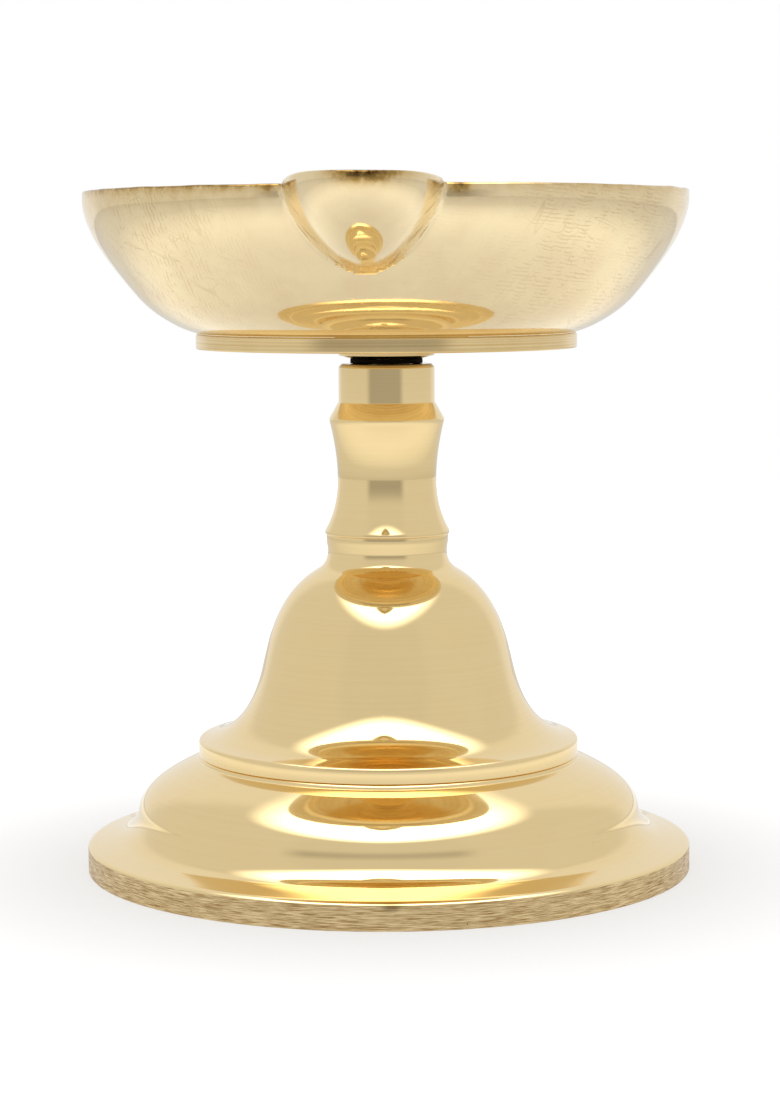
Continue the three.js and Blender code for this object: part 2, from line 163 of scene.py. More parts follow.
# Inside of the foot and bell: sand-cast skin, turned only roughly.
castBrass = {
    "name": "rough cast brass", "light": "#c9a565", "deep": "#8f6e3a", "pit": "#4a3719", "aged": "#4a3719",
    "markWidth": 0.5, "markLength": 2.0, "markDepth": 0.03, "markShare": 0.5,
    "swell": 3.0, "swellDepth": 0.08, "rough": (0.42, 0.62),
    "pitSpacing": 1.6, "pitSize": 0.25, "pitDepth": 0.08,
}
# Shared by the four: the radius at which a mark has its length, the flat part of a pinhole, and the
# levels of the noise between which the colour and the roughness change
turnedNoise = {"middleRadius": 20.0, "pitFloor": 0.4, "toneLevels": (0.36, 0.62), "roughLevels": (0.35, 0.65)}


def makeTurnedFinish(look):
    s = Settings(**look, **turnedNoise)
    material, tree = startMaterial(s.name)
    place = axisPlace(tree)
    around = ringPlace(tree, place, s.middleRadius * s.markWidth / s.markLength)
    marks = addNode(tree, "TexNoise", {"Vector": around, "Scale": 1 / s.markWidth, "Roughness": 0.6})
    swell = addNode(tree, "TexNoise", {"Vector": place, "Scale": 1 / s.swell, "Detail": 3.0})
    cells = addNode(tree, "TexVoronoi", {"Vector": place, "Scale": 1 / s.pitSpacing})
    pitEdge = s.pitSize / s.pitSpacing
    pits = addNode(tree, "MapRange", [cells, pitEdge, s.pitFloor * pitEdge])
    mixed = addNode(tree, "Mix", {0: s.markShare, 2: swell, 3: marks})
    share = addNode(tree, "MapRange", [mixed, *s.toneLevels])
    rough = addNode(tree, "MapRange", [mixed, *s.roughLevels, *reversed(s.rough)])
    aged = addNode(tree, "Attribute", attribute_name="aged").outputs["Fac"]
    endMaterial(tree, s.deep, ((s.light, share), (s.pit, pits), (s.aged, aged)), (
        (s.markDepth, False, marks), (s.swellDepth, False, swell), (s.pitDepth, True, pits),
    ), {"Metallic": 1.0, "Roughness": rough})
    return material


# The bowl's outside is cast brass, filed and buffed by hand: a soft mirror with fine ripples of the file
# and long scratches, more of them towards the sides, with file strokes along the spout's border and soot
# where the wick has burnt. The soot colours also paint shade, in the notches beside the spout and in a band
# under the rim, stronger on the left. Leans are in radians about Y, from level.
filedBrass = {
    "light": "#f4e1b5", "deep": "#f0dab0", "line": "#a0824c", "fresh": "#fdeec8", "haze": "#c8a35f",
    "soot": "#4a3012", "lineShow": 0.3, "grainShow": 0.1, "freshShow": 0.85, "gougeShow": 0.6,
    "ripple": 0.55, "rippleRun": 1.8, "rippleBend": 5.0, "rippleLeans": (1.25, 0.12), "rippleDepth": 0.005,
    "ridgeFrom": 0.6, "runLevels": (0.46, 0.58), "leanChange": 4.0,
    "scratchWidth": 2.2, "scratchLength": 14.0, "scratchReach": 0.006, "scratchDepth": 0.010,
    "scratchLean": -0.9, "scratchBend": 0.3, "crossLean": 0.45, "crossBend": 0.4,
    "strokeWidth": 0.32, "strokeLength": 4.0, "strokeLean": -0.85, "strokeBend": 0.4, "strokeDepth": 0.05,
    "gougeLevels": (0.54, 0.64), "swell": 6.0, "swellDepth": 0.012, "swellLevels": (0.36, 0.62),
    "rough": (0.05, 0.09), "roughLevels": (0.3, 0.7), "workedRough": 0.26,
    "clearHalf": (14.0, 28.0), "clearShare": 0.15, "filmLevels": (0.0, 0.4), "crustLevels": (0.25, 0.9),
    "patch": {"size": 9.0, "levels": (0.32, 0.56)},
    "grain": {"size": 0.3, "levels": (0.5, 0.68), "roughness": 0.6},
    "smear": {"size": 1.6, "levels": (0.34, 0.62), "detail": 4.0, "roughness": 0.65, "least": 0.45},
}


# soft patches of a size in millimetres, which fade in between two levels of a noise
def patches(tree, place, size, levels, detail=2.0, roughness=0.5, least=0.0):
    noise = addNode(
        tree, "TexNoise", {"Vector": place, "Scale": 1 / size, "Detail": detail, "Roughness": roughness})
    return addNode(tree, "MapRange", [noise, *levels, least])


# thin lines where a noise passes its middle value, drawn out along X after a lean about Y
def hairLines(tree, place, s, lean, bend):
    scale = (s.scratchLength, s.scratchLength, s.scratchWidth)
    run = addNode(
        tree, "Mapping", {"Vector": place, "Rotation": (0, lean, 0), "Scale": scale}, vector_type="TEXTURE")
    noise = addNode(tree, "TexNoise", {"Vector": run, "Scale": 1.0, "Detail": 1.0, "Distortion": bend})
    away = addNode(tree, "Math", [noise, 0.5], operation="SUBTRACT")
    away = addNode(tree, "Math", [away], operation="ABSOLUTE")
    return addNode(tree, "MapRange", [away, s.scratchReach, 0.0])


# fine wavy ripples left by the file, a spacing apart, across a lean about Y, broken up into short runs
def fileRipples(tree, place, s, lean):
    spacing, run = s.ripple, s.rippleRun
    leant = addNode(tree, "Mapping", {"Vector": place, "Rotation": (0, lean, 0)}, vector_type="TEXTURE")
    period = 2 * pi / 20  # of the wave texture at scale 1
    wave = addNode(tree, "TexWave", {
        "Vector": leant, "Scale": period / spacing, "Distortion": s.rippleBend, "Detail": 1.0,
        "Detail Scale": spacing / period / run}, bands_direction="Z").outputs["Fac"]
    ridge = addNode(tree, "MapRange", [wave, s.ridgeFrom])
    broken = patches(tree, leant, run, s.runLevels, detail=1.0)
    return addNode(tree, "Math", [ridge, broken], operation="MULTIPLY")


def makeFiledFinish(look):
    s = Settings(**look)
    material, tree = startMaterial("filed cast brass")
    place = axisPlace(tree)
    parts = addNode(tree, "SeparateXYZ", [place]).outputs
    aside = addNode(tree, "Math", [parts[0]], operation="ABSOLUTE")
    mirrored = addNode(tree, "CombineXYZ", [aside, parts[1], parts[2]])
    worked = addNode(tree, "Attribute", attribute_name="worked").outputs["Fac"]
    sides = addNode(tree, "MapRange", [aside, *s.clearHalf, s.clearShare])
    patch, grain, smear = [patches(tree, place, **form) for form in (s.patch, s.grain, s.smear)]
    much = addNode(tree, "Math", [patch, sides], operation="MULTIPLY")

    # the file ran upright on the left of the spout and level on its right
    upright, level = [fileRipples(tree, place, s, lean) for lean in s.rippleLeans]
    onRight = addNode(tree, "MapRange", [parts[0], -s.leanChange, s.leanChange])
    ripples = addNode(tree, "Mix", {0: onRight, 2: upright, 3: level})
    falling = hairLines(tree, mirrored, s, s.scratchLean, s.scratchBend)
    crossing = hairLines(tree, place, s, s.crossLean, s.crossBend)
    scratches = addNode(tree, "Math", [falling, crossing], operation="MAXIMUM")
    lines = addNode(tree, "Math", [ripples, scratches], operation="MAXIMUM")

    # file strokes run up along the border on both sides, so their pattern is mirrored in x
    scale = (s.strokeLength, s.strokeLength, s.strokeWidth)
    stroke = addNode(tree, "Mapping", {
        "Vector": mirrored, "Rotation": (0, s.strokeLean, 0), "Scale": scale}, vector_type="TEXTURE")
    strokes = addNode(tree, "TexNoise", {
        "Vector": stroke, "Scale": 1.0, "Detail": 3.0, "Roughness": 0.6, "Distortion": s.strokeBend})

    # a thin film of soot is a golden brown, a thick crust nearly black; the same two colours paint the shade
    # in the notches beside the spout and under the rim
    soot = addNode(tree, "Attribute", attribute_name="soot").outputs["Fac"]
    sootAndShadeAmount = addNode(tree, "Math", [soot, smear], operation="MULTIPLY")
    swell = addNode(tree, "TexNoise", {
        "Vector": place, "Scale": 1 / s.swell, "Detail": 4.0, "Roughness": 0.55})
    share, gouges, filmAndShadeShare, crustAndShadeShare = [
        addNode(tree, "MapRange", [value, *levels]) for value, levels in (
            (swell, s.swellLevels), (strokes, s.gougeLevels), (sootAndShadeAmount, s.filmLevels), (sootAndShadeAmount, s.crustLevels))]
    rough = addNode(tree, "MapRange", [swell, *s.roughLevels, *s.rough])
    rough = addNode(tree, "Math", [worked, s.workedRough, rough], operation="MULTIPLY_ADD")
    endMaterial(tree, s.deep, (
        (s.light, share), (s.line, grain, sides, s.grainShow), (s.fresh, worked, s.freshShow),
        (s.line, gouges, worked, s.gougeShow), (s.line, lines, much, s.lineShow), (s.haze, filmAndShadeShare),
        (s.soot, crustAndShadeShare),
    ), (
        (s.rippleDepth, True, ripples, much), (s.scratchDepth, True, scratches, much),
        (s.strokeDepth, False, strokes, worked), (s.swellDepth, False, swell),
    ), {"Metallic": 1.0, "Roughness": rough})
    return material


# Nitrile rubber, moulded: near black, dull, with a fine grain and a little brown dust. The near black also
# paints the shade in the gap between the disc's boss and the stem's collar, where this ring sits.
rubberAndShadeLook = {"base": "#0a0604", "mottle": "#1d130d", "grain": 0.25, "grainDepth": 0.02,
              "rough": (0.7, 0.9), "metallic": 0.0, "shine": 0.12}
# Steel with bright zinc plating: grey, softly mottled, a little duller where it was handled.
zincLook = {"base": "#c2c5c8", "mottle": "#93979b", "grain": 1.4, "grainDepth": 0.006,
            "rough": (0.22, 0.42), "metallic": 1.0, "shine": 0.5}
mottleLevels = (0.35, 0.7)


def makeGrainyFinish(name, look):
    s = Settings(**look)
    material, tree = startMaterial(name)
    grain = addNode(tree, "TexNoise", {
        "Vector": axisPlace(tree), "Scale": 1 / s.grain, "Detail": 4.0, "Roughness": 0.6})
    share = addNode(tree, "MapRange", [grain, *mottleLevels])
    rough = addNode(tree, "MapRange", [grain, 0.0, 1.0, *s.rough])
    endMaterial(tree, s.base, ((s.mottle, share),), ((s.grainDepth, False, grain),), {
        "Metallic": s.metallic, "Roughness": rough, "Specular IOR Level": s.shine})
    return material


finishes = {
    "polished": makeTurnedFinish(polishedBrass),
    "turned": makeTurnedFinish(turnedBrass),
    "brushed": makeTurnedFinish(brushedBrass),
    "cast": makeTurnedFinish(castBrass),
    "filed": makeFiledFinish(filedBrass),
    "rubberAndShade": makeGrainyFinish("moulded rubber and painted shade", rubberAndShadeLook),
    "zinc": makeGrainyFinish("zinc-plated steel", zincLook),
}
print("materials made:", len(finishes))

# M8 coarse thread, as the solids have it. A rod has a ridge on its core, a hole has a groove in its bore.
thread = {"pitch": 1.25, "radius": 3.95, "core": 3.35, "bore": 3.55, "groove": 4.15, "pass": 4.3,
          "row": 0.11, "chamfer": 0.5}
ridgeRule = {"Ridge Root": 0.75, "Ridge Crest": 0.24}
grooveRule = {"Ridge Root": 0.92, "Ridge Crest": 0.52}
turnedRule = {**ridgeRule, "Pitch": thread["pitch"], "Thread Height": 0.0, "Across Flats": 13.0,
              "Chamfer Slope": 0.5, "Sharp Angle": radians(38), "Weld": 0.001}
plainInputs = ("Chamfer Slope", "Sharp Angle")  # the other inputs of the rule are lengths


# Geometry tree that turns an outline about the Z axis. A point's "ridge" is how far a screw thread stands
# out there, and its "corner" is 1 or -1 where a hexagon's lower or upper edge takes the place of a round one.
def makeTurnedTree():
    tree = bpy.data.node_groups.new("turned form", "GeometryNodeTree")
    sockets = {"Outline": "Geometry", "Steps": "Int", "Finish": "Material"}
    sockets.update(dict.fromkeys(turnedRule, "Float"))
    for name, kind in sockets.items():
        tree.interface.new_socket(name, in_out="INPUT", socket_type="NodeSocket" + kind)
    tree.interface.new_socket("Form", in_out="OUTPUT", socket_type="NodeSocketGeometry")
    given = addNode(tree, "NodeGroupInput").outputs

    # a grid with one row for each outline point and one column for each step, seam included
    count = addNode(tree, "GeometryNodeAttributeDomainSize", [given["Outline"]])
    columns = addNode(tree, "Math", [given["Steps"], 1.0], operation="ADD")
    grid = addNode(tree, "GeometryNodeMeshGrid", {"Vertices X": count, "Vertices Y": columns})
    rowShare = addNode(tree, "GeometryNodeInputIndex")
    for operation, operand in (("ADD", 0.5), ("DIVIDE", columns)):
        rowShare = addNode(tree, "Math", [rowShare, operand], operation=operation)
    row = addNode(tree, "Math", [rowShare], operation="FLOOR")
    turn = rowShare
    for operation, *operands in (
            ("SUBTRACT", row), ("MULTIPLY", columns), ("FLOOR",), ("DIVIDE", given["Steps"])):
        turn = addNode(tree, "Math", [turn, *operands], operation=operation)
    angle = addNode(tree, "Math", [turn, 2 * pi], operation="MULTIPLY")

    # the outline's point and marks for that row
    place = addNode(tree, "GeometryNodeInputPosition")
    point = addNode(tree, "GeometryNodeSampleIndex", [given["Outline"], place, row], data_type="FLOAT_VECTOR")
    parts = addNode(tree, "SeparateXYZ", [point]).outputs
    marks = {}
    for name in ("ridge", "corner"):
        kept = addNode(tree, "GeometryNodeInputNamedAttribute", [name], data_type="FLOAT")
        marks[name] = addNode(
            tree, "GeometryNodeSampleIndex", [given["Outline"], kept, row], data_type="FLOAT")
    rootHalf, crestHalf, flatRadius = [
        addNode(tree, "Math", [given[name], 0.5], operation="MULTIPLY")
        for name in ("Ridge Root", "Ridge Crest", "Across Flats")]

    # screw thread: a trapezoid ridge that climbs one pitch in each turn
    away = parts[2]
    for operation, *operands in (
            ("SUBTRACT", given["Thread Height"]), ("DIVIDE", given["Pitch"]), ("SUBTRACT", turn),
            ("ADD", 0.5), ("FRACT",), ("SUBTRACT", 0.5), ("ABSOLUTE",), ("MULTIPLY", given["Pitch"])):
        away = addNode(tree, "Math", [away, *operands], operation=operation)
    ridge = addNode(tree, "MapRange", [away, rootHalf, crestHalf])
    radius = addNode(tree, "Math", [ridge, marks["ridge"], parts[0]], operation="MULTIPLY_ADD")

    # hexagon: distance from the axis to its side, and the chamfer that follows from it
    cosine = turn
    for operation, *operands in (
            ("MULTIPLY_ADD", 6.0, 0.5), ("FRACT",), ("SUBTRACT", 0.5), ("MULTIPLY", pi / 3),
            ("COSINE",)):
        cosine = addNode(tree, "Math", [cosine, *operands], operation=operation)
    side = addNode(tree, "Math", [flatRadius, cosine], operation="DIVIDE")
    isSide = addNode(tree, "Math", [marks["corner"]], operation="ABSOLUTE")
    radius = addNode(tree, "Mix", {0: isSide, 2: radius, 3: side})
    height = side
    for operation, *operands in (
            ("SUBTRACT", flatRadius), ("MULTIPLY", given["Chamfer Slope"]),
            ("MULTIPLY_ADD", marks["corner"], parts[2])):
        height = addNode(tree, "Math", [height, *operands], operation=operation)

    target = {2: height}
    for axis, operation in enumerate(("COSINE", "SINE")):
        part = addNode(tree, "Math", [angle], operation=operation)
        target[axis] = addNode(tree, "Math", [part, radius], operation="MULTIPLY")
    target = addNode(tree, "CombineXYZ", target)
    bend = addNode(tree, "GeometryNodeInputMeshEdgeAngle").outputs["Unsigned Angle"]
    sharp = addNode(tree, "FunctionNodeCompare", [bend, given["Sharp Angle"]],
                    data_type="FLOAT", operation="GREATER_THAN")
    form = grid
    for kind, inputs, settings in (
            ("SetPosition", {"Position": target}, {}),
            ("MergeByDistance", {"Distance": given["Weld"]}, {}),
            ("FlipFaces", {}, {}),
            ("SetShadeSmooth", {"Shade Smooth": True}, {"domain": "FACE"}),
            ("SetShadeSmooth", {"Shade Smooth": False, "Selection": sharp}, {"domain": "EDGE"}),
            ("RealizeInstances", {}, {}),
            ("SetMaterial", {"Material": given["Finish"]}, {})):
        form = addNode(tree, "GeometryNode" + kind, {0: form, **inputs}, **settings)
    addNode(tree, "NodeGroupOutput", [form])
    return tree


turnedTree = makeTurnedTree()


def settle(piece, body, node):
    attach(piece, body)
    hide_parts(node)
    faces = sum(len(face.vertices) - 2 for face in piece.data.polygons)
    print("piece", piece.name, "on", body, "with", faces, "triangles")


def markPoints(mesh, name, values):
    mesh.attributes.new(name, "FLOAT", "POINT").data.foreach_set("value", np.array(values, np.float32))


# Turns an outline of (radius, height, ridge, corner) points; the last two may be left out
def turnedPiece(name, outline, base, finish, steps, rule=None):
    points = [(list(p) + [0.0, 0.0])[:4] for p in outline]
    profile = bpy.data.meshes.new(name + "_outline")
    profile.from_pydata([(p[0] * mm, 0, (p[1] + base) * mm) for p in points],
                        [(i, i + 1) for i in range(len(points) - 1)], [])
    markPoints(profile, "ridge", [p[2] * mm for p in points])
    markPoints(profile, "corner", [p[3] for p in points])
    source = addObject(name + "_source", profile)
    turner = source.modifiers.new("turned form", "NODES")
    turner.node_group = turnedTree
    values = {"Steps": steps, "Finish": finishes[finish]}
    for key, value in {**turnedRule, **(rule or {})}.items():
        values[key] = value if key in plainInputs else value * mm
    for item in turnedTree.interface.items_tree:
        if item.in_out == "INPUT" and item.name in values:
            turner[item.identifier] = values[item.name]
    mesh = bpy.data.meshes.new_from_object(source.evaluated_get(bpy.context.evaluated_depsgraph_get()))
    bpy.data.objects.remove(source)
    mesh.name = name
    mesh.transform(Matrix.Translation((0, axisY * mm, 0)))
    return addObject(name, mesh)


# Gives the faces that pass a test of (radius, height, upward part of the normal) another finish
def refinish(piece, finish, chosen):
    piece.data.materials.append(finishes[finish])
    place = len(piece.data.materials) - 1
    for face in piece.data.polygons:
        x, y, z = face.center / mm
        if chosen(hypot(x, y - axisY), z, face.normal.z):
            face.material_index = place


# Gives a piece an "aged" mark, the share of old brown tarnish, by a rule of (x, y, height)
def tarnish(piece, share):
    markPoints(piece.data, "aged", [share(*(vertex.co / mm)) for vertex in piece.data.vertices])


# points of a cubic curve; each handle is given from its own end, as (outwards, upwards)
def curvePoints(start, end, startHandle, endHandle, steps):
    share = np.linspace(0, 1, steps + 1)[:, None]
    corners = np.array((start, start, end, end), float)
    corners[1:3] += (startHandle, endHandle)
    weights = ((1 - share) ** 3, 3 * share * (1 - share) ** 2, 3 * share ** 2 * (1 - share), share ** 3)
    return [tuple(p) for p in sum(w * c for w, c in zip(weights, corners))]


# an outline moved to its left by a wall's thickness
def insetPoints(outline, wall):
    points = np.array(outline, float)
    run = np.gradient(points, axis=0)
    run /= np.linalg.norm(run, axis=1)[:, None]
    return [tuple(p) for p in points + wall * np.stack([-run[:, 1], run[:, 0]], axis=1)]


leastCorner = radians(22)  # an outline that turns by less has no corner there
longestCut = 0.45  # of the shorter side at a corner
cornerPoints = 5


# rounds each corner of an outline
def softCorners(outline, reach, closed=True):
    soft = []
    for i, here in enumerate(outline):
        here = np.array(here, float)
        if not closed and i in (0, len(outline) - 1):
            soft.append(tuple(here))
            continue
        before = np.array(outline[i - 1], float) - here
        after = np.array(outline[(i + 1) % len(outline)], float) - here
        lengths = np.linalg.norm(before), np.linalg.norm(after)
        cosine = np.dot(-before, after) / (lengths[0] * lengths[1])
        if acos(max(-1.0, min(1.0, cosine))) < leastCorner:
            soft.append(tuple(here))
            continue
        cut = min(reach, longestCut * min(lengths))
        start, end = here + before / lengths[0] * cut, here + after / lengths[1] * cut
        for t in np.linspace(0, 1, cornerPoints):
            soft.append(tuple((1 - t) ** 2 * start + 2 * t * (1 - t) * here + t * t * end))
    return soft + [soft[0]] if closed else soft


def threadRows(radius, ridge, start, end):
    rows = max(2, round(abs(end - start) / thread["row"]))
    return [(radius, start + (end - start) * i / rows, ridge) for i in range(rows + 1)]


# In the pieces' dictionaries a pair is a point, (radius, height), unless it is said to be something else,
# and a curve is the handle at its first end, the handle at its other end, and its steps.

# Foot: hollow stepped casting, polished on top, brushed on its edge. From the bead under the bell a dome
# swells out to a crease, a wide cove sweeps from the crease to the ledge, and the ledge falls to the rim.
foot = {
    "radius": 45.0, "height": 17.0, "ringWidth": 3.6, "ringHeight": 1.2,
    "bandRows": (0, 0.9, 1.8, 2.5, 3.0), "bandHeight": 3.5,
    "edge": ((0, 0.25), (0.5, -0.06), 8), "edgeTop": (44.0, 4.06),
    "ledge": (41.0, 4.75), "cove": ((-2.3, 0.62), (0.3, -1.9), 24),
    "crease": (37.4, 8.7), "dome": ((-0.45, 3.3), (5.6, -2.5), 40),
    "domeTop": (28.5, 16.3), "bead": ((0.05, 0.275), (0.35, -0.1), 8), "neckRadius": 28.0,
    "deck": 3.0, "wall": 3.0, "hollowGap": 0.2, "hollowCorner": 1.5, "ledgeUnder": (35.4, 3.6),
    "registerRadius": 24.75, "registerWidth": 2.5, "registerHeight": 1.2, "soft": 0.14, "steps": 288,
    "castFrom": 0.1, "castTo": 14.1, "brushedFrom": 44.6, "brushedTop": 3.55,
    "stain": (3.4, 3.3), "stainSpread": (1.3, 0.5), "stainAge": 0.8,  # pairs to the right and up
}
facesDown = -0.01  # the upward part of a normal that looks down


def makeFoot(s):
    deckUnder, registerTop = s.height - s.deck, s.height + s.registerHeight
    registerInside, ringInside = s.registerRadius - s.registerWidth, s.radius - s.ringWidth
    edge = curvePoints((s.radius, s.bandHeight), s.edgeTop, *s.edge)
    cove = curvePoints(s.ledge, s.crease, *s.cove)
    dome = curvePoints(s.crease, s.domeTop, *s.dome)
    bead = curvePoints(s.domeTop, (s.neckRadius, s.height), *s.bead)
    hollow = [p for p in insetPoints(dome, s.wall) if p[1] < deckUnder - s.hollowGap]
    piece = turnedPiece("steppedFoot", softCorners([
        *[(s.radius, row) for row in s.bandRows], *edge, *cove, *dome[1:], *bead[1:],
        (s.registerRadius, s.height), (s.registerRadius, registerTop), (registerInside, registerTop),
        (registerInside, s.height), (thread["pass"], s.height), (thread["pass"], deckUnder),
        (hollow[-1][0] - s.hollowCorner, deckUnder), *hollow[::-1], s.ledgeUnder,
        (ringInside, s.ringHeight), (ringInside, 0),
    ], s.soft), baseOf("base_foot"), "polished", s.steps)
    refinish(piece, "cast", lambda r, z, up: up < facesDown and s.castFrom < z < s.castTo)
    refinish(piece, "brushed", lambda r, z, up: r > s.brushedFrom and z < s.brushedTop)
    tarnish(piece, lambda x, y, z: (y < 0) * s.stainAge * exp(
        -((x - s.stain[0]) / s.stainSpread[0]) ** 2 - ((z - s.stain[1]) / s.stainSpread[1]) ** 2))
    return piece


settle(makeFoot(Settings(**foot)), "stand", "base_foot")

# Bell: hollow casting, polished outside
bell = {
    "height": 32.8, "flangeRadius": 28.35, "flange": 1.9, "flangeRound": 0.45, "seatWidth": 3.3,
    "flangeEdge": ((0, 0.2475), (0.2025, 0), 6),
    "skirt": ((-4.1, 0.7), (1.7, -6.8), 36), "skirtTop": (18.9, 12.4),
    "waist": (17.9, 16.5), "shoulder": ((-1.3, 4.8), (4.0, -2.3), 32), "shoulderTop": (10.4, 27.5),
    "neck": ((-1.0, 0.6), (0, -1.4), 14), "neckTop": (8.85, 30.4), "collarRadius": 9.05, "collarCone": 1.4,
    "wall": 2.6, "crown": 7.0, "hollowGap": 0.2, "hollowCorner": 0.8, "spigotHole": 5.9,
    "spigotDepth": 1.5, "registerTop": 1.5, "soft": 0.12, "steps": 288, "castFrom": 1.4, "castTo": 26.0,
}


def makeBell(s):
    base = baseOf("base_bell")
    flangeTop = (s.flangeRadius - s.flangeRound, s.flange + s.flangeRound)
    flangeEdge = curvePoints((s.flangeRadius, s.flange), flangeTop, *s.flangeEdge)
    skirt = curvePoints(flangeTop, s.skirtTop, *s.skirt)
    shoulder = curvePoints(s.waist, s.shoulderTop, *s.shoulder)
    neck = curvePoints(s.shoulderTop, s.neckTop, *s.neck)
    opening = s.flangeRadius - s.seatWidth
    crownUnder, spigotFloor = s.height - s.crown, s.height - s.spigotDepth
    hollow = [p for p in insetPoints(skirt + shoulder, s.wall)
              if p[0] < opening and s.registerTop < p[1] < crownUnder - s.hollowGap]
    piece = turnedPiece("hollowBell", softCorners([
        (opening, 0), (s.flangeRadius, 0), *flangeEdge, *skirt[1:], *shoulder, *neck[1:],
        (s.collarRadius, s.neckTop[1] + s.collarCone), (s.collarRadius, s.height),
        (s.spigotHole, s.height), (s.spigotHole, spigotFloor), (thread["pass"], spigotFloor),
        (thread["pass"], crownUnder), (hollow[-1][0] - s.hollowCorner, crownUnder), *hollow[::-1],
        (opening, s.registerTop),
    ], s.soft), base, "polished", s.steps)
    refinish(piece, "cast", lambda r, z, up: up < facesDown and s.castFrom < z - base < s.castTo)
    return piece


settle(makeBell(Settings(**bell)), "stand", "base_bell")

# Stem: baluster with a waist, a ring and a straight collar; its top is bored and tapped for the stud
stem = {
    "height": 25.2, "foot": (9.25, 0.45), "waist": ((-1.8, 3.25), (-2.17, -8.9), 48), "ring": (8.52, 16.9),
    "ringBand": 0.2, "collarRadius": 7.12, "collarHeight": 19.5, "collarCove": 0.15, "topChamfer": 0.5,
    "spigotRadius": 5.6, "spigot": 1.2, "rodHole": 9.35, "tapFloor": 13.2, "tapPlain": 1.0,
    "soft": 0.1, "steps": 192, "seamAge": 0.85, "seamSpread": 0.35, "seamInside": 4.5,
}
stemSeat = baseOf("stem") + stem["spigot"]
stemTop = stemSeat + stem["height"]


def makeStem(s):
    mouth, bore = thread["bore"] + thread["chamfer"], thread["bore"]
    waist = curvePoints(s.foot, s.ring, *s.waist)
    outside = softCorners([
        (0, s.rodHole), (thread["pass"], s.rodHole), (thread["pass"], -s.spigot),
        (s.spigotRadius, -s.spigot), (s.spigotRadius, 0), (s.foot[0], 0), *waist,
        (s.ring[0], s.ring[1] + s.ringBand), (s.collarRadius + s.collarCove, s.collarHeight - s.collarCove),
        (s.collarRadius, s.collarHeight), (s.collarRadius, s.height - s.topChamfer),
        (s.collarRadius - s.topChamfer, s.height), (mouth, s.height),
    ], s.soft, closed=False)
    tapTop = s.height - thread["chamfer"]
    tap = threadRows(bore, thread["groove"] - bore, tapTop, s.tapFloor + thread["pitch"])
    piece = turnedPiece("balusterStem", [
        *outside, (bore, tapTop), *tap, (bore, s.tapFloor + s.tapPlain), (bore, s.tapFloor), (0, s.tapFloor),
    ], stemSeat, "polished", s.steps, {"Thread Height": stemTop, **grooveRule})
    tarnish(piece, lambda x, y, z: (hypot(x, y - axisY) > s.seamInside) * s.seamAge * exp(
        -((z - stemTop) / s.seamSpread) ** 2))
    return piece


settle(makeStem(Settings(**stem)), "stand", "stem")

# Disc under the bowl with its tapered boss
disc = {"radius": 28.13, "thickness": 2.2, "edge": 0.15, "bossRadius": 7.1, "bossTip": 5.45,
        "bossHeight": 1.5, "bossCone": 0.45, "soft": 0.1, "steps": 256}


def makeDisc(s):
    top, inside = s.bossHeight + s.thickness, s.radius - s.edge
    return turnedPiece("bowlDisc", softCorners([
        (thread["pass"], 0), (s.bossTip, 0), (s.bossRadius, s.bossCone), (s.bossRadius, s.bossHeight),
        (inside, s.bossHeight), (s.radius, s.bossHeight + s.edge), (s.radius, top - s.edge), (inside, top),
        (thread["pass"], top),
    ], s.soft), baseOf("foot_disc"), "turned", s.steps)


settle(makeDisc(Settings(**disc)), "bowl", "foot_disc")

# Plain rings: the seat washer, whose near black also paints the shade in the gap under the disc's boss, and
# the steel washer under the deck
seatRing = {"radius": 5.36, "thickness": 0.7, "soft": 0.16, "steps": 128}
deckWasher = {"radius": 8.0, "thickness": 1.6, "soft": 0.25, "steps": 128}


def makeRing(name, node, s, finish):
    return turnedPiece(name, softCorners([
        (thread["pass"], 0), (s.radius, 0), (s.radius, s.thickness), (thread["pass"], s.thickness),
    ], s.soft), baseOf(node), finish, s.steps)


settle(makeRing("seatRing", "seat_washer", Settings(**seatRing), "rubberAndShade"),
       "washer", "seat_washer")
settle(makeRing("deckWasher", "base_washer", Settings(**deckWasher), "zinc"),
       "stand", "base_washer")

# Rods with a threaded lower end, where the thread fades in and out
bowlStud = {"threaded": 10.4, "threadHeight": stemTop, "chamfer": 0.1, "steps": 96}
tieRod = {"threaded": 11.0, "threadHeight": stemSeat, "chamfer": 0.1, "steps": 96}
threadFade = (0.75, 0.5, 0.25, 0.0)  # how much of the ridge is left, row by row


def makeRod(name, node, s, finish):
    length = (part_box(node)[1].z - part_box(node)[0].z) / mm
    core, depth = thread["core"], thread["radius"] - thread["core"]
    rows = [(radius, height, min(ridge, height))
            for radius, height, ridge in threadRows(core, depth, 0, s.threaded - depth)]
    for left in threadFade:
        rows.append((core + depth * (1 - left), s.threaded - depth * left, depth * left))
    rows = [(0, 0), *rows, (thread["radius"], length - s.chamfer)]
    rows += [(thread["radius"] - s.chamfer, length), (0, length)]
    return turnedPiece(name, rows, baseOf(node), finish, s.steps, {"Thread Height": s.threadHeight})


settle(makeRod("bowlStud", "bowl_stud", Settings(**bowlStud), "turned"),
       "bowl", "bowl_stud")
settle(makeRod("tieRod", "tie_rod", Settings(**tieRod), "zinc"), "stand", "tie_rod")

# Hexagon nut
nut = {"acrossFlats": 13.0, "height": 6.0, "sharpAngle": 24.0, "steps": 96}


def makeNut(s):
    flat, bore, low = s.acrossFlats / 2, thread["bore"], thread["chamfer"]
    mouth, high = bore + low, s.height - low
    tap = threadRows(bore, thread["groove"] - bore, high, low)
    return turnedPiece("hexNut", [
        (mouth, 0), (flat, 0), (flat, 0, 0, 1), (flat, s.height, 0, -1), (flat, s.height),
        (mouth, s.height), (bore, high), *tap, (bore, low), (mouth, 0),
    ], baseOf("base_nut"), "zinc", s.steps, {
        "Thread Height": stemSeat, "Across Flats": s.acrossFlats, "Sharp Angle": radians(s.sharpAngle),
        **grooveRule})


settle(makeNut(Settings(**nut)), "stand", "base_nut")
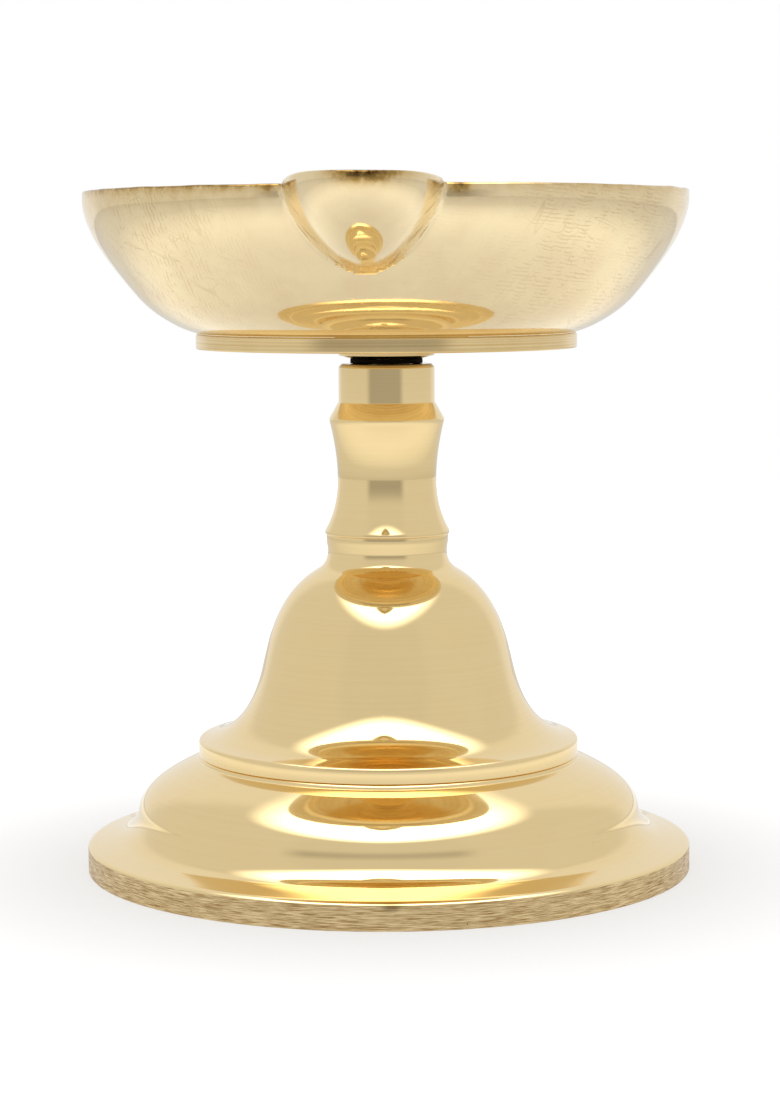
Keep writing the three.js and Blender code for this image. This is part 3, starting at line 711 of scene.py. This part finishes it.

# Oil bowl: cast shell with a boat-shaped spout that melts into the wall over a filed border. Pairs of
# amounts are for the left and the right of the spout, and places of soot and of painted shade are in degrees
# from its middle.
bowl = {
    "height": 20.9, "radius": 44.5, "seat": 27.3, "wall": 2.0, "floor": 2.4, "belly": 19.6,
    "side": ((7.4, 1.2), (0, -6.2), 74), "rimRound": 0.35, "rimCut": 0.3,
    "heel": 0.35, "heelHeight": 3.8, "heelSpread": 2.4, "pinch": 0.12, "pinchHeight": 9.5, "pinchSpread": 3.0,
    "reach": 57.0, "root": 40.0, "half": 11.0, "depth": 11.8, "rise": 1.3, "round": 1.7, "taper": 1.8,
    "spoutWall": 2.0, "tipWall": 2.4, "fillet": 1.7, "innerFillet": 0.8, "stretchFrom": 8.0,
    "lipFrom": -0.3, "lipWidth": 0.8, "brazeRadius": 28.08, "brazeLean": 0.1, "underRows": (9.0, 18.0, 27.78),
    "hollowGap": 0.2, "floorRound": ((0.5, 0.08), (1.5, 0)), "floorRows": (0.66, 0.33), "swellFrom": 4.0,
    "swell": 0.09, "swellSize": 9.0, "fileWave": 0.12, "fileSize": 1.6, "rimWave": 0.14, "rimSize": 7.0,
    "workedOut": 0.7, "workedIn": 2.6, "workedEdge": 1.1, "seed": 5,
    "frontAngle": 20.0, "frontColumns": 130, "backColumns": 190, "planPoints": 600, "spoutPoints": 500,
    "sharpAngle": 50.0, "troughFrom": 0.2,
    # soot on the lip, painted shade in the notches, a darker line on the rim's edge and painted shade under
    # the rim
    "lipSoot": 1.5, "lipSpread": 5.0, "notchSoot": 16.6, "notchSpread": 1.9, "notchAmounts": (0.65, 1.0),
    "sootDepth": 1.5, "edgeFrom": 14.0, "edgeAmounts": (0.7, 0.35), "edgeDepth": 0.4,
    "hazeFrom": 18.0, "hazeAmounts": (0.2, 0.08), "hazeDepth": 2.6,
}


# furthest distance from the axis, in each direction and at each height, that is still inside the spout
def spoutDistance(s, angle, height, half, depth, tip):
    share = np.sin(np.linspace(0, pi / 2, s.spoutPoints))
    forward = s.root + (tip - s.root) * share
    taper = (1 - share ** s.taper) ** (1 / s.round)
    lip = s.height + s.rise * (1 - (1 - share) ** 2)
    deepest = np.maximum(depth * taper, 1e-9)
    found = np.zeros_like(height)
    for column, turn in enumerate(angle):
        if abs(turn) > radians(s.frontAngle):
            continue
        drop = np.maximum(lip[None, :] - height[:, column, None], 0)
        full = np.clip(1 - (drop / deepest) ** s.round, 0, None) ** (1 / s.round)
        room = half * taper * full - np.abs(forward * tan(turn))
        for row in range(height.shape[0]):
            inside = np.nonzero(room[row] > 0)[0]
            if len(inside):
                last = inside[-1]
                after = min(last + 1, len(share) - 1)
                gap = room[row, last] - room[row, after]
                part = room[row, last] / gap if after > last and gap > 0 else 0.0
                distance = forward[last] + (forward[after] - forward[last]) * min(part, 1.0)
                found[row, column] = distance / cos(turn)
    return found


def smoothMax(first, second, reach):
    near = np.maximum(0, 1 - np.abs(first - second) / reach)
    return np.maximum(first, second) + near ** 2 * reach / 4


waveCount = 14
waveLengths = (0.7, 1.8)  # shortest and longest, as shares of the size
waveTop = 6  # the sum at which the waves are cut off


# sum of waves through space, from 0 to 1, the same in every run
def waves(points, size, seed):
    rng = np.random.default_rng(seed)
    total = np.zeros(points.shape[:-1])
    for turn in range(waveCount):
        direction = rng.normal(size=3)
        direction /= np.linalg.norm(direction)
        length = size * rng.uniform(*waveLengths)
        total += np.sin(points @ direction * 2 * pi / length + rng.uniform(0, 2 * pi))
    return 0.5 + 0.5 * np.clip(total / waveTop, -1, 1)


def makeBowl(s):
    front = radians(s.frontAngle)
    angle = np.concatenate([
        np.linspace(-front, front, s.frontColumns, endpoint=False),
        np.linspace(front, 2 * pi - front, s.backColumns, endpoint=False)])
    angle = (angle + pi) % (2 * pi) - pi
    columns = len(angle)
    sine, cosine = np.sin(angle), np.cos(angle)

    # plan of the lip: how far out it lies and how high it has risen, for each direction
    share = np.linspace(0, 1, s.planPoints)
    planX = s.half * (1 - share ** s.taper) ** (1 / s.round)
    planY = s.root + (s.reach - s.root) * share
    planAngle, planRadius = np.arctan2(planX, planY)[::-1], np.hypot(planX, planY)[::-1]
    outAt = np.interp(np.abs(angle), planAngle, planRadius, right=0)
    shareAt = np.interp(np.abs(angle), planAngle, share[::-1], right=0)
    on = np.clip((outAt - s.radius - s.lipFrom) / s.lipWidth, 0, 1)
    on = on * on * (3 - 2 * on)
    top = s.height + on * s.rise * (1 - (1 - shareAt) ** 2)
    rimPlace = np.stack([sine, -cosine, np.zeros(columns)], axis=1) * s.radius
    top -= s.rimWave * waves(rimPlace, s.rimSize, s.seed)

    # rows of the outer wall, from the disc's edge to just below the rim, stretched up to the rim where it
    # rises; the braze fills the corner between the bowl's flat underside and the disc
    wall = np.array(curvePoints((s.seat, 0), (s.radius, s.belly), *s.side))
    # its heel is a little fuller and the part above a little slimmer, as its mirrored foot shows
    fuller = s.heel * np.exp(-((wall[:, 1] - s.heelHeight) / s.heelSpread) ** 2)
    slimmer = s.pinch * np.exp(-((wall[:, 1] - s.pinchHeight) / s.pinchSpread) ** 2)
    wall[:, 0] += (fuller - slimmer) * np.clip(wall[:, 1], 0, 1)
    wallTop = s.height - s.rimRound
    wall = np.vstack([wall, [(s.radius, wallTop)]])
    brazed = wall[:, 0] < s.brazeRadius
    wall[brazed, 1] *= np.linspace(0, 1, brazed.sum()) ** 2
    wall[brazed, 0] = np.linspace(s.brazeRadius - s.brazeLean, s.brazeRadius, brazed.sum())

    def stretched(heights):
        lift = np.clip((heights - s.stretchFrom) / (wallTop - s.stretchFrom), 0, None)
        return heights[:, None] + lift[:, None] * (top - s.height)[None, :]

    outZ = stretched(wall[:, 1])
    outSpout = spoutDistance(s, angle, outZ, s.half, s.depth, s.reach)
    plain = np.repeat(wall[:, :1], columns, axis=1)
    outR = smoothMax(plain, outSpout, s.fillet)
    beyond = outSpout - plain - s.workedOut
    worked = np.exp(-(beyond / np.where(beyond > 0, s.workedIn, s.workedEdge)) ** 2) * (outSpout > 0)

    # hand finishing: low swells everywhere and file marks along the spout's border, never outwards
    spot = np.stack([outR * sine, -outR * cosine, outZ], axis=-1)
    fade = np.clip(outZ / s.swellFrom, 0, 1)
    outR = outR - fade * s.swell * waves(spot, s.swellSize, s.seed + 1)
    outR = outR - worked * s.fileWave * waves(spot, s.fileSize, s.seed + 2)

    # rows of the hollow, from just below the rim down to the floor
    inner = [p for p in insetPoints(wall[:-1], s.wall) if p[1] > s.floor + s.hollowGap][::-1]
    inner = np.array([(s.radius - s.wall, wallTop)] + inner[::2])
    inZ = stretched(inner[:, 1])
    inSpout = spoutDistance(s, angle, inZ, s.half - s.spoutWall, s.depth - s.spoutWall, s.reach - s.tipWall)
    inR = smoothMax(np.repeat(inner[:, :1], columns, axis=1), inSpout, s.innerFillet)

    # every row from the middle of the seat to the middle of the floor, as radii and heights
    ones = np.ones(columns)
    edge, cut = s.rimRound, s.rimCut * s.rimRound
    rows = [(radius * ones, 0 * ones) for radius in s.underRows] + list(zip(outR, outZ))
    rows += [(outR[-1] - cut, top - cut), (outR[-1] - edge, top)]
    rows += [(inR[0] + edge, top), (inR[0] + cut, top - cut)]
    innerStart = 1 + len(rows) * columns
    rows += zip(inR, inZ)
    floorEdge = inner[-1][0]
    rows += [((floorEdge - step) * ones, (s.floor + lift) * ones) for step, lift in s.floorRound]
    rows += [(floorEdge * part * ones, s.floor * ones) for part in s.floorRows]

    base = baseOf("oil_bowl")
    points = [(0, axisY, base)]
    for radius, height in rows:
        points += zip(radius * sine, axisY - radius * cosine, base + height)
    points.append((0, axisY, base + s.floor))
    points = np.array(points)
    faces = []
    last = len(points) - 1
    end = last - columns
    for column in range(columns):
        after = (column + 1) % columns
        faces.append((0, 1 + after, 1 + column))
        for low in range(1, end, columns):
            high = low + columns
            faces.append((low + column, low + after, high + after, high + column))
        faces.append((end + column, end + after, last))
    mesh = bpy.data.meshes.new("oilBowl")
    mesh.from_pydata((points * mm).tolist(), [], faces)

    # marks for the finish: filed border, soot on the lip, painted shade in the notches beside the spout, a
    # darker line along the rim's edge and a band of painted shade under the rim
    outFirst = 1 + len(s.underRows) * columns
    workedAt = np.zeros(len(points))
    workedAt[outFirst:outFirst + worked.size] = worked.ravel()
    place = points - (0, axisY, base)
    below = np.tile(top, len(rows)) - place[1:-1, 2]
    below = np.concatenate([[s.height], below, [s.height]])
    turn = np.degrees(np.arctan2(place[:, 0], -place[:, 1]))
    left, side = turn < 0, np.abs(turn)
    deep = np.exp(-(below / s.sootDepth) ** 2)
    soot = np.max([
        deep * np.exp(-((turn - s.lipSoot) / s.lipSpread) ** 2),
        # painted shade in the notches beside the spout
        deep * np.exp(-((side - s.notchSoot) / s.notchSpread) ** 2) * np.where(left, *s.notchAmounts),
        np.exp(-(below / s.edgeDepth) ** 4) * np.where(left, *s.edgeAmounts) * (side > s.edgeFrom),
        # a band of painted shade under the rim, stronger on the left
        np.exp(-(below / s.hazeDepth) ** 2) * np.where(left, *s.hazeAmounts) * (side > s.hazeFrom)], axis=0)
    markPoints(mesh, "worked", workedAt)
    markPoints(mesh, "soot", soot)

    mesh.shade_smooth()
    mesh.set_sharp_from_angle(angle=radians(s.sharpAngle))
    mesh.materials.append(finishes["filed"])
    mesh.materials.append(finishes["polished"])
    troughFrom = s.radius - s.wall + s.troughFrom
    for face in mesh.polygons:
        x, y, z = face.center / mm
        if min(face.vertices) >= innerStart and hypot(x, y - axisY) <= troughFrom:
            face.material_index = 1  # the hollow is polished, apart from the spout's trough
    return addObject("oilBowl", mesh)


settle(makeBowl(Settings(**bowl)), "bowl", "oil_bowl")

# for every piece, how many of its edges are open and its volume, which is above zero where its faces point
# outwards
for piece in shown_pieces():
    shell = bmesh.new()
    shell.from_mesh(piece.data)
    volume = shell.calc_volume(signed=True) / mm ** 3
    loose = sum(1 for edge in shell.edges if len(edge.link_faces) != 2)
    shell.free()
    print("piece", piece.name, "has", loose, "open edges and a volume of", round(volume, 1), "mm3")

# Studio: a round sheet of paper in a light tent, one soft lamp overhead. Straight rays see the sheet and
# the tent as white, mirrored rays see them a little darker, and the lamp gives the sheet its soft shadow.
# Close round the foot the sheet's glow is lower, a painted shadow besides the lamp's own.
studio = {
    "floorRadius": 750.0, "floorSides": 96, "paper": "#a0a09f",
    "nearGlow": 0.6, "farGlow": 1.0, "farFrom": 45.0, "farTo": 125.0,
    "nearMirror": 0.55, "farMirror": 0.765, "mirrorFrom": 60.0, "mirrorTo": 150.0,
    "dimFrom": 170.0, "dimTo": 300.0, "dim": 0.66,
    "lampHeight": 650.0, "lampSize": 1000.0, "lampRadiance": 1.7, "fill": 0.25,
    "wall": 0.79, "back": 0.9, "backAngle": 138.0, "front": 0.46, "frontHigh": 0.76, "frontAngle": 40.0,
    "soft": 8.0, "frontLow": 0.0, "frontTop": 19.0,
    "top": 3.4, "topMiddle": 0.15, "topLength": 0.82, "topWidth": 0.6, "topSoft": 0.32, "leastRise": 0.001,
}


# whether a ray is seen straight, and whether it was mirrored or let through
def rayKinds(tree):
    path = addNode(tree, "LightPath").outputs
    kinds = [path["Is Glossy Ray"], path["Is Transmission Ray"]]
    return path["Is Camera Ray"], addNode(tree, "Math", kinds, operation="MAXIMUM")


def makeFloor(s):
    sheet = bmesh.new()
    bmesh.ops.create_circle(sheet, cap_ends=True, segments=s.floorSides, radius=s.floorRadius * mm,
                            matrix=Matrix.Translation((0, axisY * mm, 0)))
    mesh = bpy.data.meshes.new("paperFloor")
    sheet.to_mesh(mesh)
    sheet.free()
    floor = addObject("paperFloor", mesh)
    material, tree = startMaterial("matt white paper")
    straight, glossy = rayKinds(tree)
    far = addNode(tree, "VectorMath", [axisPlace(tree)], operation="LENGTH")
    # the glow is lowest close round the foot, for straight and for mirrored rays: painted shadow; mirrored
    # rays see the sheet dimmer again far off
    seen, mirrored, dimmed = [addNode(tree, "MapRange", [far, *change]) for change in (
        (s.farFrom, s.farTo, s.nearGlow, s.farGlow), (s.mirrorFrom, s.mirrorTo, s.nearMirror, s.farMirror),
        (s.dimFrom, s.dimTo, 1.0, s.dim))]
    seen = addNode(tree, "Math", [seen, straight], operation="MULTIPLY")
    mirrored = addNode(tree, "Math", [mirrored, dimmed], operation="MULTIPLY")
    strength = addNode(tree, "Math", [mirrored, glossy, seen], operation="MULTIPLY_ADD")
    paper = addNode(tree, "BsdfDiffuse", [colour(s.paper)])
    glow = addNode(tree, "Emission", {"Strength": strength})
    addNode(tree, "OutputMaterial", [addNode(tree, "AddShader", [paper, glow])])
    mesh.materials.append(material)


def makeLamp(s):
    lamp = bpy.data.lights.new("softLamp", "AREA")
    lamp.shape = "DISK"
    lamp.size = s.lampSize * mm
    lamp.energy = s.lampRadiance * pi * pi * (lamp.size / 2) ** 2
    holder = addObject("softLamp", lamp)
    holder.location = (0, axisY * mm, s.lampHeight * mm)
    holder.visible_camera = False
    holder.visible_glossy = False  # mirrored rays see the tent's bright top in its place


# The tent's walls are pale all round. Its top is one bright panel, its open front, towards the camera,
# is darker, and the backdrop behind the oil lamp is a little paler.
def makeTent(s):
    world = bpy.data.worlds.new("light tent")
    world.use_nodes = True
    tree = world.node_tree
    tree.nodes.clear()
    straight, glossy = rayKinds(tree)
    way = addNode(tree, "TexCoord").outputs["Generated"]
    parts = addNode(tree, "SeparateXYZ", [way]).outputs
    ahead = addNode(tree, "Math", [parts[1], -1.0], operation="MULTIPLY")
    aside = addNode(tree, "Math", [parts[0]], operation="ABSOLUTE")
    turn = addNode(tree, "Math", [aside, ahead], operation="ARCTAN2")

    # the top panel is an oval, by how far a ray leans aside and ahead for each unit that it rises
    rise = addNode(tree, "Math", [parts[2], s.leastRise], operation="MAXIMUM")
    lean = addNode(tree, "CombineXYZ", [parts[0], ahead])
    rises = addNode(tree, "CombineXYZ", [rise, rise, 1.0])
    for operation, operand in (
            ("DIVIDE", rises), ("SUBTRACT", (0, s.topMiddle, 0)),
            ("MULTIPLY", (1 / s.topWidth, 1 / s.topLength, 0))):
        lean = addNode(tree, "VectorMath", [lean, operand], operation=operation)
    out = addNode(tree, "VectorMath", [lean], operation="LENGTH")

    inFront, high, behind, panel = [
        addNode(tree, "MapRange", inputs, interpolation_type="SMOOTHSTEP") for inputs in (
            [turn, radians(s.frontAngle + s.soft), radians(s.frontAngle - s.soft)],
            [parts[2], sin(radians(s.frontLow)), sin(radians(s.frontTop)),
             s.front, s.frontHigh],
            [turn, radians(s.backAngle - s.soft), radians(s.backAngle + s.soft), s.wall, s.back],
            [out, 1 + s.topSoft, 1 - s.topSoft])]
    strength = behind
    for share, value in ((inFront, high), (panel, s.top)):
        strength = addNode(tree, "Mix", {0: share, 2: strength, 3: value})
    strength = addNode(tree, "Mix", {0: glossy, 2: s.fill, 3: strength})
    strength = addNode(tree, "Mix", {0: straight, 2: strength, 3: 1.0})
    light = addNode(tree, "Background", {"Color": (1, 1, 1, 1), "Strength": strength})
    addNode(tree, "OutputWorld", [light])
    scene.world = world


for makePart in (makeFloor, makeLamp, makeTent):
    makePart(Settings(**studio))
print("studio made")

# Camera where the photograph was taken from: the spout points a little to its left
camera = {"distance": 419.45, "height": 89.76, "round": 4.0, "aside": -0.052, "tilt": 5.871,
          "roll": -0.29, "lens": 91.93, "sensor": 36.0, "clipStart": 10.0}


def makeCamera(s):
    data = bpy.data.cameras.new("camera")
    data.lens = s.lens
    data.sensor_width = s.sensor
    data.clip_start = s.clipStart * mm
    turn = radians(s.round)
    aim = Matrix.Translation((
        s.distance * sin(turn) * mm, (axisY - s.distance * cos(turn)) * mm, s.height * mm))
    for degrees, axis in ((s.round + s.aside, "Z"), (90 - s.tilt, "X"), (s.roll, "Z")):
        aim = aim @ Matrix.Rotation(radians(degrees), 4, axis)
    viewer = addObject("camera", data)
    viewer.matrix_world = aim
    scene.camera = viewer


makeCamera(Settings(**camera))
scene.view_settings.view_transform = "Standard"
print("camera made")
